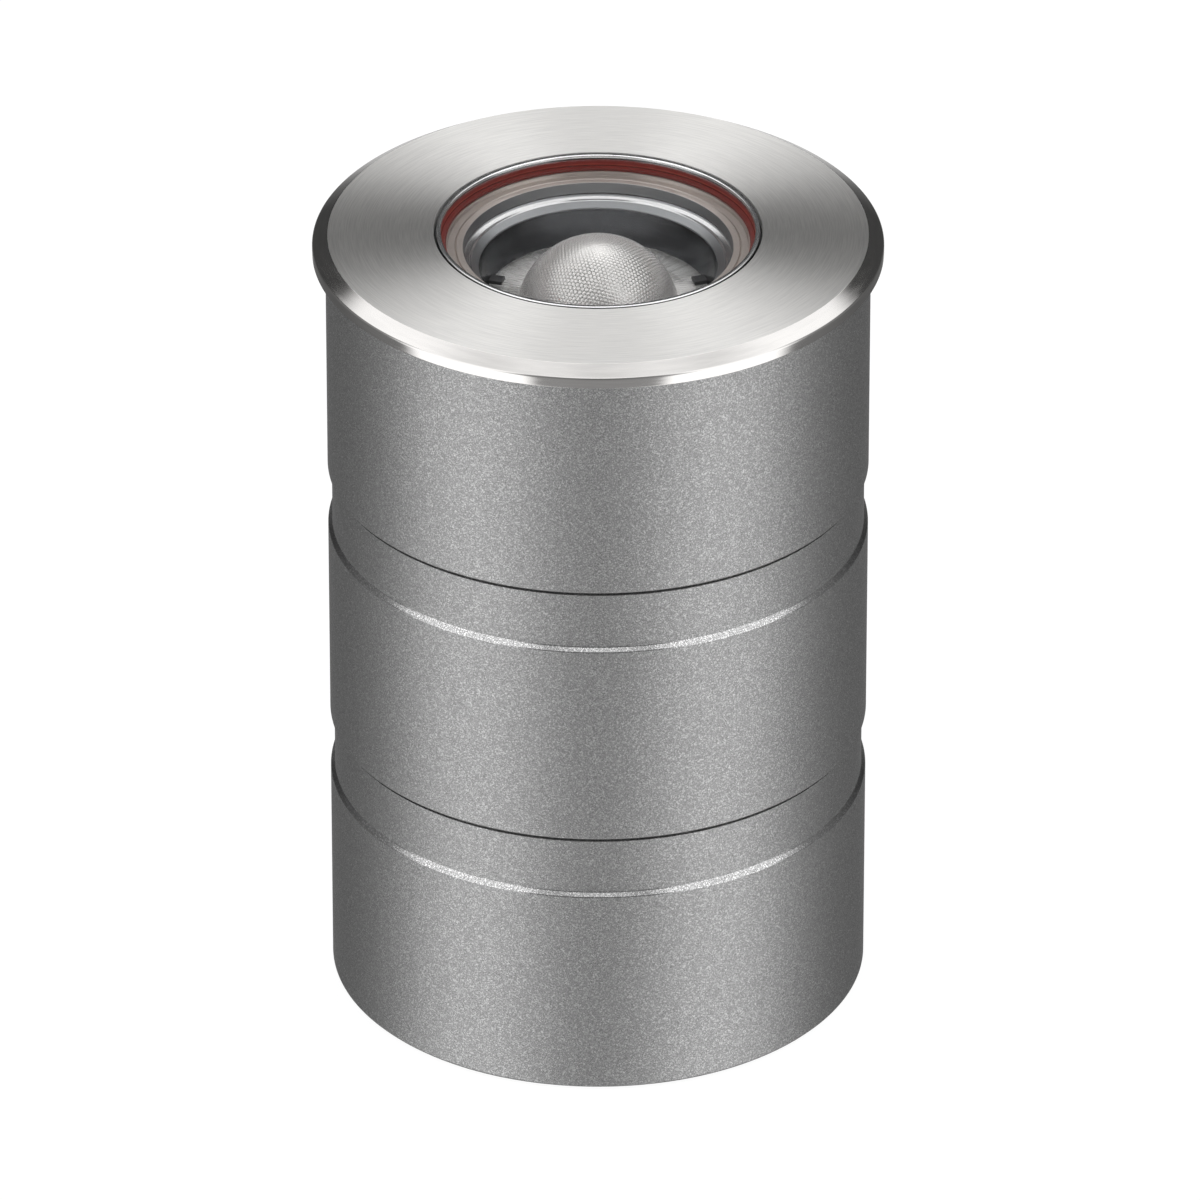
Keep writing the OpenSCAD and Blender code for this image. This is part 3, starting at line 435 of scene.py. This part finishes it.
# Screws: bluish bright zinc
zinc_steel = grainy("zinc_steel", "#c4c7ca", 0.3, metal=1.0, grain=2.0, tint=0.06, bump=0.002)
# Cable gland: nickel over brass, slightly yellow
nickel_brass = grainy("nickel_brass", "#cbc8bd", 0.26, metal=1.0, grain=0.8, tint=0.05, bump=0.002)
# Driver board: green solder resist over a faint weave
circuit_board = grainy("circuit_board", "#1f5a36", 0.35, grain=1.0, tint=0.14, bump=0.004)
# LED board: white resist
white_board = grainy("white_board", "#e4e4e2", 0.45, tint=0.03, bump=0.002)
# Chip: yellow phosphor disc
phosphor = grainy("phosphor", "#e6b52c", 0.4, grain=4.0, tint=0.08, bump=0.004)
# Transformer core: dark sintered ferrite
ferrite = grainy("ferrite", "#3b3c3f", 0.55, grain=1.6, tint=0.15)
# Choke winding: lacquered copper wire
enamelled_copper = grainy(
    "enamelled_copper", "#a65a2b", 0.3, metal=0.6, grain=0.8, tint=0.2, bump=0.02, scratch=6.0
)
# Capacitors: dark blue shrink sleeve
capacitor_sleeve = grainy("capacitor_sleeve", "#1a2440", 0.3, grain=0.6, tint=0.12, bump=0.003)
# Leads: red silicone insulation
lead_silicone = grainy("lead_silicone", "#84251f", 0.45, grain=1.2, bump=0.005)

FINISHES = {
    "black_rubber": ["base_gasket", "gland_seal", "seat_ring", "trim_friction_ring"],
    "zinc_steel": [
        "base_screws",
        "earth_screw",
        "terminal_screws",
        "junction_screws",
        "driver_screws",
        "head_screws",
        "spreader_screws",
        "led_screws",
        "clamp_screws",
    ],
    "nickel_brass": ["gland_body", "gland_locknut", "gland_nut"],
    "black_nylon": [
        "vent_plug",
        "junction_socket",
        "junction_plug",
        "driver_tray",
        "driver_socket",
        "head_plug",
    ],
    "grey_nylon": ["terminal_block"],
    "lead_silicone": ["supply_leads", "driver_leads", "led_leads"],
    "red_silicone": ["lower_joint_ring", "upper_joint_ring"],
    "circuit_board": ["driver_board"],
    "ferrite": ["driver_transformer"],
    "enamelled_copper": ["driver_choke"],
    "capacitor_sleeve": ["driver_capacitors"],
    "thermal_silicone": ["thermal_pad"],
    "white_board": ["led_board"],
    "phosphor": ["led_chip"],
    "bright_aluminium": ["heat_spreader"],
    "blasted_aluminium": ["base_plate"],
}
for finish, names in FINISHES.items():
    for n in names:
        nodes[n].data.materials.clear()
        nodes[n].data.materials.append(bpy.data.materials[finish])

# ---------------------------------------------------------------- sections

# Radii and heights in mm
BODY, NECK, SPIGOT, CHAMBER, SKIRT = 47.7, 46.95, 43.7, 40.0, 44.0
LOWER_JOINT, UPPER_JOINT, SECTION_TOP = 50.5, 100.2, 143.1
HEAD_BORE = 43.7  # takes the window's seat
SPIGOT_H = 11.5  # height of a spigot above its joint
# The shoulder's lighter metal is partly a painted highlight
SHOULDER_LOW, SHOULDER_TOP = 11.12, 10.24  # span of a worn shoulder, below its joint
EDGE = 0.14  # softened edges of the blasted sections
FINE_EDGE = 0.07  # softened edges beside the shadow groove
GROOVE = 46.2  # foot of the shadow groove at each joint
RING_GROOVE, RING_LOW, RING_TOP = 41.75, 3.833, 6.433  # O-ring's groove: radius, and heights above the joint
BOSS, TAPPED, TAPPED_DEPTH = 4.4, 2.15, 9.78  # tapped boss: its radius, and its hole's radius and depth
BOSS_CIRCLE = 36.35  # radius of the circle that the bosses stand on


def joint_end(z):
    """Neck, shoulder and spigot above a joint at z, with the O-ring's groove."""
    return [
        (BODY, z - 11.05),
        (NECK, z - 10.3),
        (NECK, z),
        (SPIGOT, z),
        (SPIGOT, z + RING_LOW),
        (RING_GROOVE, z + RING_LOW),
        (RING_GROOVE, z + RING_TOP),
        (SPIGOT, z + RING_TOP),
        (SPIGOT, z + 10.76),
        (42.96, z + SPIGOT_H),
        (CHAMBER, z + SPIGOT_H),
    ]


def skirt_end(z):
    """Skirt's foot at a joint at z: a narrow shadow groove, and the chamfer that overhangs the neck."""
    return [
        (SKIRT, z + 0.47),
        (SKIRT + 0.37, z + 0.1),
        (GROOVE, z + 0.1),
        (GROOVE, z + 0.5),
        (NECK + 0.1, z + 0.5),
        (BODY, z + 1.0),
    ]


def worn_and_highlight_shoulder(joint):
    """Paint of a section: the smoother metal with its painted highlight on the shoulder below the joint,
    blasted elsewhere.
    """

    def index(face):
        low, high = joint - SHOULDER_LOW, joint - SHOULDER_TOP
        return int(reach(face) > NECK - 0.05 and low < level_of(face) < high)

    return index


def boss(angle, top, bottom, tip):
    """Tapped boss on a chamber's wall, down to bottom, and tapering to tip."""
    a = math.radians(angle)
    end = top - TAPPED_DEPTH
    return turn(
        [(0, tip), (1.5, tip), (BOSS, bottom), (BOSS, top), (TAPPED, top), (TAPPED, end), (0, end)],
        steps=40,
        at=(BOSS_CIRCLE * math.cos(a), BOSS_CIRCLE * math.sin(a)),
    )


piece(
    "lower_barrel",
    "lower_section",
    [
        turn(
            [(42.5, 0), (47.1, 0), (BODY, 0.6)] + joint_end(LOWER_JOINT) + [(CHAMBER, 26), (42.5, 26)],
            {EDGE: [1, 2, 3, 4], 0.1: [5]},
        )
    ]
    + [boss(a, 61.98, 49.5, 45.1) for a in (90, 210, 330)]
    + [boss(a, 38.5, 26.4, 26.02) for a in (45, 135, 225, 315)],
    "lower",
    [blasted_aluminium, worn_and_highlight_aluminium],
    paint=worn_and_highlight_shoulder(LOWER_JOINT),
)
piece(
    "middle_barrel",
    "middle_section",
    [
        turn(
            skirt_end(LOWER_JOINT)
            + joint_end(UPPER_JOINT)
            + [(CHAMBER, 65.3), (0, 65.3), (0, 62.3), (SKIRT, 62.3)],
            {EDGE: [5, 6, 7], FINE_EDGE: [4, 8]},
        )
    ]
    + [boss(a, 111.68, 99.2, 94.8) for a in (30, 150, 270)],
    "middle",
    [blasted_aluminium, worn_and_highlight_aluminium],
    paint=worn_and_highlight_shoulder(UPPER_JOINT),
)
piece(
    "upper_barrel",
    "upper_section",
    [
        turn(
            skirt_end(UPPER_JOINT)
            + [
                (BODY, SECTION_TOP),
                (HEAD_BORE, SECTION_TOP),
                (HEAD_BORE, 136.4),
                (CHAMBER, 136.4),
                (CHAMBER, 114.97),
                (0, 114.97),
                (0, 112),
                (SKIRT, 112),
            ],
            {EDGE: [5, 6], FINE_EDGE: [4]},
        )
    ],
    "head",
    [blasted_aluminium],
)

# ---------------------------------------------------------------- trim ring and window

TOP = 147  # height of the whole light
# Where a second finish begins on a turned piece, where painted shade begins on the clamp ring, and where
# painted shade and highlight begin on the glass's edge: radii, and one height, in mm
BEVEL_FROM = 47.28
CLAMP_LIP, CLAMP_LIP_LOW = 28.3, 146.8
GLASS_EDGE = 27.5
SEAT_BORE = 23.65
LIP_SLOPE = 22.2

piece(
    "bevelled_trim_ring",
    "trim_ring",
    [
        turn(
            [
                (28.75, 145.4),
                (41.25, 145.4),
                (41.25, 138.9),
                (43.4, 138.9),
                (43.4, 140.15),
                (41.95, 140.15),
                (41.95, 141.87),
                (43.4, 141.87),
                (43.4, 143.2),
                (47.9, 143.2),
                (47.9, 142.9),
                (50, 142.9),
                (50, 144.8),
                (47.3, 146.4),
                (28.75, TOP),
            ],
            {0.16: [11, 14], 0.3: [12], 0.06: [13]},
        )
    ],
    "trim",
    [brushed_stainless, polished_stainless],
    paint=lambda f: int(reach(f) > BEVEL_FROM),
)
piece(
    "window_clamp_ring",
    "glass_clamp",
    [
        turn(
            [
                (27.5, 146.52),
                (27.9, 146.52),
                (27.9, 144.51),
                (29.48, 144.51),
                (29.48, 141.92),
                (40.95, 141.92),
                (40.95, 145.3),
                (28.35, 145.3),
                (28.35, TOP),
                (27.5, TOP),
            ],
            {0.14: [8, 9]},
        )
    ],
    "head",
    [bright_aluminium, black_anodised],
    # The flange beside the lip takes the near black of painted shade for the gap
    paint=lambda f: int(reach(f) > CLAMP_LIP and level_of(f) < CLAMP_LIP_LOW),
)
piece(
    "window_disc",
    "cover_glass",
    [turn([(0, 142.52), (27.58, 142.52), (27.58, 146.5), (0, 146.5)], {0.12: [1, 2]})],
    "head",
    [window_glass, sealed_edge_painted_light],
    paint=lambda f: int(reach(f) > GLASS_EDGE),
)
piece(
    "window_seal",
    "glass_seal",
    [
        turn(
            [
                (26.58, 141.92),
                (29.46, 141.92),
                (29.46, 144.49),
                (27.88, 144.49),
                (27.88, 146.48),
                (27.6, 146.48),
                (27.6, 142.5),
                (26.58, 142.5),
            ],
            {0.2: [0, 7]},
        )
    ],
    "head",
    [red_silicone],
)
piece(
    "stepped_window_seat",
    "glass_seat",
    [
        turn(
            [
                (23.6, 139.17),
                (26.1, 139.17),
                (26.1, 136.4),
                (43.4, 136.4),
                (43.4, 136.74),
                (42.34, 136.74),
                (42.34, 138.26),
                (43.4, 138.26),
                (43.4, 138.6),
                (40.95, 138.6),
                (40.95, 141.9),
                (26.3, 141.9),
                (26.3, 141.22),
                (25.15, 141.22),
                (24.95, 141.02),
                (24.75, 141.22),
                (23.6, 141.22),
            ],
            {0.1: [11, 16], 0.05: [0]},
        )
    ],
    "head",
    [satin_aluminium, grey_anodised],
    paint=lambda f: int(reach(f) < SEAT_BORE),
)
piece(
    "rolled_baffle_lip",
    "baffle_lip",
    [
        turn(
            [
                (20.9, 137.39),
                (25.9, 137.39),
                (25.9, 139.07),
                (23.35, 139.07),
                (22.45, 138.7),
                (22.28, 138.4),
                (20.9, 137.62),
            ],
            {0.3: [3], 0.14: [4, 5], 0.1: [6]},
        )
    ],
    "head",
    [bright_aluminium, grey_anodised],
    paint=lambda f: int(reach(f) < LIP_SLOPE),
)
piece(
    "baffle_cone_shell",
    "baffle_cone",
    [
        turn(
            [(19.5, 131.47), (20.5, 131.47), (21.9, 136.39), (25.9, 136.39), (25.9, 137.37), (20.9, 137.37)],
            {0.1: [0]},
        )
    ],
    "head",
    [black_chrome],
)

# ---------------------------------------------------------------- lens

LENS_TOP = 131.37  # top of the lens's flange
LENS_BACK = 129.39  # back of the flange, which is silvered like the body under it
FLANGE = 20.68  # radius of the flange
DOME = 14.49  # radius of the dome's sphere
DOME_H = 10.6  # height of the dome above the flange
DOME_MIDDLE = LENS_TOP + DOME_H - DOME
LENSLETS = 24  # cuts along each edge of a ball of 20 triangles: lenslets about 0.65 mm wide
LENSLET_R = 0.42  # mm from a lenslet's middle to its corners
LENSLET_DROP = 0.085  # mm between a lenslet's middle and its corners
DOME_SPARE = 1.2  # mm of dome kept below the flange until it's cut off there


def honeycomb_dome():
    """Cap of a sphere whose surface is a honeycomb of small convex lenses, open at the lens's flange."""
    bm = bmesh.new()
    bmesh.ops.create_icosphere(bm, subdivisions=1, radius=DOME * MM)
    bmesh.ops.subdivide_edges(bm, edges=bm.edges[:], cuts=LENSLETS, use_grid_fill=True)
    bmesh.ops.triangulate(bm, faces=bm.faces[:])
    low = (LENS_TOP - DOME_MIDDLE) * MM
    for v in bm.verts:
        v.co = v.co.normalized() * DOME * MM
    below = [v for v in bm.verts if v.co.z < low - DOME_SPARE * MM]
    bmesh.ops.delete(bm, geom=below, context="VERTS")
    centres = [v.co.copy() for v in bm.verts]
    tree = KDTree(len(centres))
    for i, c in enumerate(centres):
        tree.insert(c, i)
    tree.balance()
    sides = bm.edges[:]
    bmesh.ops.poke(bm, faces=bm.faces[:])
    bmesh.ops.subdivide_edges(bm, edges=sides, cuts=1)
    bmesh.ops.triangulate(bm, faces=bm.faces[:])
    bmesh.ops.subdivide_edges(bm, edges=bm.edges[:], cuts=1, use_grid_fill=True)
    bmesh.ops.triangulate(bm, faces=bm.faces[:])
    corner = LENSLET_R * MM
    middle = bm.verts.layers.float.new("lenslet")
    for v in bm.verts:
        away = v.co.normalized() * DOME * MM
        near = tree.find(away)[2]
        v[middle] = 1 - min(1.0, near / corner)
        v.co = away * (1 - LENSLET_DROP * MM * min(1.0, (near / corner) ** 2) / (DOME * MM))
    bmesh.ops.bisect_plane(
        bm,
        geom=bm.verts[:] + bm.edges[:] + bm.faces[:],
        plane_co=(0, 0, low),
        plane_no=(0, 0, 1),
        clear_inner=True,
        dist=1e-8,
    )
    bmesh.ops.translate(bm, verts=bm.verts[:], vec=(0, 0, DOME_MIDDLE * MM))
    return bm


def lens():
    """The dome, and the flange and body under it, as one closed skin."""
    bm = honeycomb_dome()
    rim = [e for e in bm.edges if e.is_boundary]
    profile = [
        bm.verts.new((r * MM, 0, z * MM))
        for r, z in (
            (FLANGE, LENS_TOP),
            (FLANGE, LENS_BACK),
            (16.4, LENS_BACK),
            (12.9, 126.4),
            (9.6, 123.6),
            (6.9, 121.8),
            (5.4, 121.8),
            (3.6, 125.57),
            (0, 125.57),
        )
    ]
    edges = [bm.edges.new(pair) for pair in zip(profile, profile[1:])]
    bmesh.ops.spin(
        bm,
        geom=profile + edges,
        cent=(0, 0, 0),
        axis=(0, 0, 1),
        angle=2 * math.pi,
        steps=STEPS,
        use_merge=True,
    )
    bmesh.ops.remove_doubles(bm, verts=bm.verts[:], dist=MERGE)
    rim = [e for e in rim if e.is_valid and e.is_boundary]
    outer = [
        e
        for e in bm.edges
        if e.is_boundary and all(abs(v.co.xy.length - FLANGE * MM) < 1e-6 for v in e.verts)
    ]
    bmesh.ops.bridge_loops(bm, edges=outer + rim)
    bmesh.ops.recalc_face_normals(bm, faces=bm.faces[:])
    return bm


piece(
    "honeycomb_lens",
    "dome_lens",
    [lens()],
    "head",
    [lens_acrylic, silvered_wall],
    paint=lambda f: int(level_of(f) < LENS_BACK + 0.01),
    weighted=False,
)
CATCH_ANGLES = (16, 164, 196, 344)
catches = [block(6.6, 2.3, 0.7, (20.6, 0, LENS_TOP + 0.45), 0.12, a) for a in CATCH_ANGLES]
piece(
    "lens_cup_with_catches",
    "lens_holder",
    [
        turn(
            [
                (14, 118.67),
                (25.4, 118.67),
                (25.4, 136.37),
                (22.2, 136.37),
                (22.2, 132.27),
                (20.88, 131.37),
                (20.88, 129.35),
                (17.39, 129.35),
                (14, 125.57),
            ],
            {0.1: [4, 5]},
        )
    ]
    + catches,
    "head",
    [black_nylon, silvered_wall],
    paint=lambda f: int(level_of(f) < LENS_BACK + 0.11 and reach(f) < FLANGE + 0.12),
)

# ---------------------------------------------------------------- studio

scene = bpy.context.scene


def angles(tree, direction):
    """Degrees above the horizon, and degrees away from the viewer's side, either way."""
    axes = add(tree, "SeparateXYZ", {0: direction})
    up = add(tree, "Math", {0: axes.outputs[2]}, operation="ARCSINE").outputs[0]
    back = add(tree, "Math", {0: axes.outputs[1], 1: -1.0}, operation="MULTIPLY").outputs[0]
    around = add(tree, "Math", {0: axes.outputs[0], 1: back}, operation="ARCTAN2").outputs[0]
    up, around = (
        add(tree, "Math", {0: angle, 1: 180 / math.pi}, operation="MULTIPLY").outputs[0]
        for angle in (up, around)
    )
    return up, add(tree, "Math", {0: around}, operation="ABSOLUTE").outputs[0]


SMOOTH = {"interpolation_type": "SMOOTHSTEP"}
world = bpy.data.worlds.new("studio")
scene.world = world
world.use_nodes = True
tree = world.node_tree
tree.nodes.clear()
direction = add(tree, "TexCoord").outputs["Generated"]
up, away = angles(tree, direction)
turned = add(tree, "Math", {0: away, 1: 180.0}, operation="DIVIDE").outputs[0]
# Low sky: two broad soft boxes beside the viewer, a dim front and a dim rear
low_sky = ramp(
    tree,
    turned,
    [(0.0, 0.2), (0.14, 0.26), (0.24, 1.5), (0.38, 1.5), (0.5, 0.3), (0.8, 0.06), (1.0, 0.05)],
)
# Below the horizon: what a pale floor would send back, bright beside the viewer and dim in front and behind
ground = ramp(
    tree,
    turned,
    [
        (0.0, 0.31),
        (0.13, 0.33),
        (0.17, 1.6),
        (0.42, 1.55),
        (0.48, 0.2),
        (0.75, 0.12),
        (0.92, 0.14),
        (0.97, 0.6),
        (1.0, 0.6),
    ],
)
level = add(tree, "MapRange", {"Value": up, "From Min": -6.0, "From Max": 4.0}, **SMOOTH).outputs[0]
low_sky = add(tree, "Mix", {0: level, 6: ground, 7: low_sky}, data_type="RGBA").outputs[2]
# High sky: a bright ceiling, brightest along a strip that runs from the front to the rear
height = add(tree, "MapRange", {"Value": up, "From Min": 31.0, "From Max": 40.0}, **SMOOTH).outputs[0]
steepness = add(tree, "Math", {0: up, 1: 90.0}, operation="DIVIDE").outputs[0]
ceiling = ramp(tree, steepness, [(0.3, 1.3), (0.6, 1.35), (0.8, 0.9), (1.0, 0.56)])
sideways = add(tree, "SeparateXYZ", {0: direction}).outputs[0]
beside = add(tree, "Math", {0: sideways}, operation="ABSOLUTE").outputs[0]
strip = add(
    tree,
    "MapRange",
    {"Value": beside, "From Min": 0.05, "From Max": 0.4, "To Min": 1.6, "To Max": 1.0},
    **SMOOTH,
).outputs[0]
ceiling = add(tree, "VectorMath", {0: ceiling, "Scale": strip}, operation="SCALE").outputs[0]
# Dim behind the viewer, up to steep angles
front = add(tree, "MapRange", {"Value": away, "From Min": 25.0, "From Max": 55.0}, **SMOOTH).outputs[0]
steep = add(tree, "MapRange", {"Value": up, "From Min": 52.0, "From Max": 66.0}, **SMOOTH).outputs[0]
clear_of_viewer = add(tree, "Math", {0: front, 1: steep}, operation="MAXIMUM").outputs[0]
share = add(tree, "Math", {0: height, 1: clear_of_viewer}, operation="MULTIPLY").outputs[0]
sky = add(tree, "Mix", {0: share, 6: low_sky, 7: ceiling}, data_type="RGBA").outputs[2]
path = add(tree, "LightPath")
white = (1.0, 1.0, 1.0, 1.0)
seen = add(tree, "Mix", {0: path.outputs["Is Camera Ray"], 6: sky, 7: white}, data_type="RGBA").outputs[2]
background = add(tree, "Background", {"Color": seen, "Strength": 1.0})
tree.links.new(background.outputs[0], add(tree, "OutputWorld").inputs["Surface"])

FLOOR_R = 6.0  # metres
FLOOR_DROP = 0.3  # mm between the foot and the floor
floor_bm = bmesh.new()
bmesh.ops.create_circle(floor_bm, cap_ends=True, segments=96, radius=FLOOR_R)
bmesh.ops.translate(floor_bm, verts=floor_bm.verts[:], vec=(0, 0, -FLOOR_DROP * MM))
floor_mesh = bpy.data.meshes.new("floor")
floor_bm.to_mesh(floor_mesh)
floor_bm.free()
floor = bpy.data.objects.new("floor", floor_mesh)
scene.collection.objects.link(floor)
# Pale floor for the eye, with the light's faint shadow; reflections look through it at the world below
floor_material, tree, out = blank("studio_floor")
spots = add(tree, "TexNoise", {"Vector": in_mm(tree), "Scale": 0.01, "Detail": 1.0}).outputs["Fac"]
pale = ramp(tree, spots, [(0.3, 0.935), (0.7, 0.945)])
glow = add(tree, "Emission", {"Color": pale, "Strength": 1.0})
matt = add(tree, "BsdfDiffuse", {"Color": (0.1, 0.1, 0.1, 1.0)})
shown = add(tree, "AddShader", {0: glow.outputs[0], 1: matt.outputs[0]})
through = add(tree, "BsdfTransparent", {"Color": white})
path = add(tree, "LightPath")
both = add(
    tree, "MixShader", {0: path.outputs["Is Camera Ray"], 1: through.outputs[0], 2: shown.outputs[0]}
)
tree.links.new(both.outputs[0], out.inputs["Surface"])
floor_mesh.materials.append(floor_material)

# ---------------------------------------------------------------- camera

RISE = math.radians(28.38)  # of the camera above the ring's plane
DISTANCE = 2.4  # metres from the ring's middle
TILT = math.radians(29.925)  # below the horizon
ASIDE = 0.33  # mm right of the light's axis
camera_data = bpy.data.cameras.new("camera")
camera_data.sensor_width = 36
camera_data.lens = 412.1
camera_data.clip_start, camera_data.clip_end = 0.1, 20
camera = bpy.data.objects.new("camera", camera_data)
camera.location = (ASIDE * MM, -DISTANCE * math.cos(RISE), TOP * MM + DISTANCE * math.sin(RISE))
camera.rotation_euler = (math.pi / 2 - TILT, 0, 0)
scene.collection.objects.link(camera)
scene.camera = camera

scene.view_settings.view_transform = "Standard"
scene.cycles.max_bounces = 24
scene.cycles.transmission_bounces = 16
scene.cycles.glossy_bounces = 8
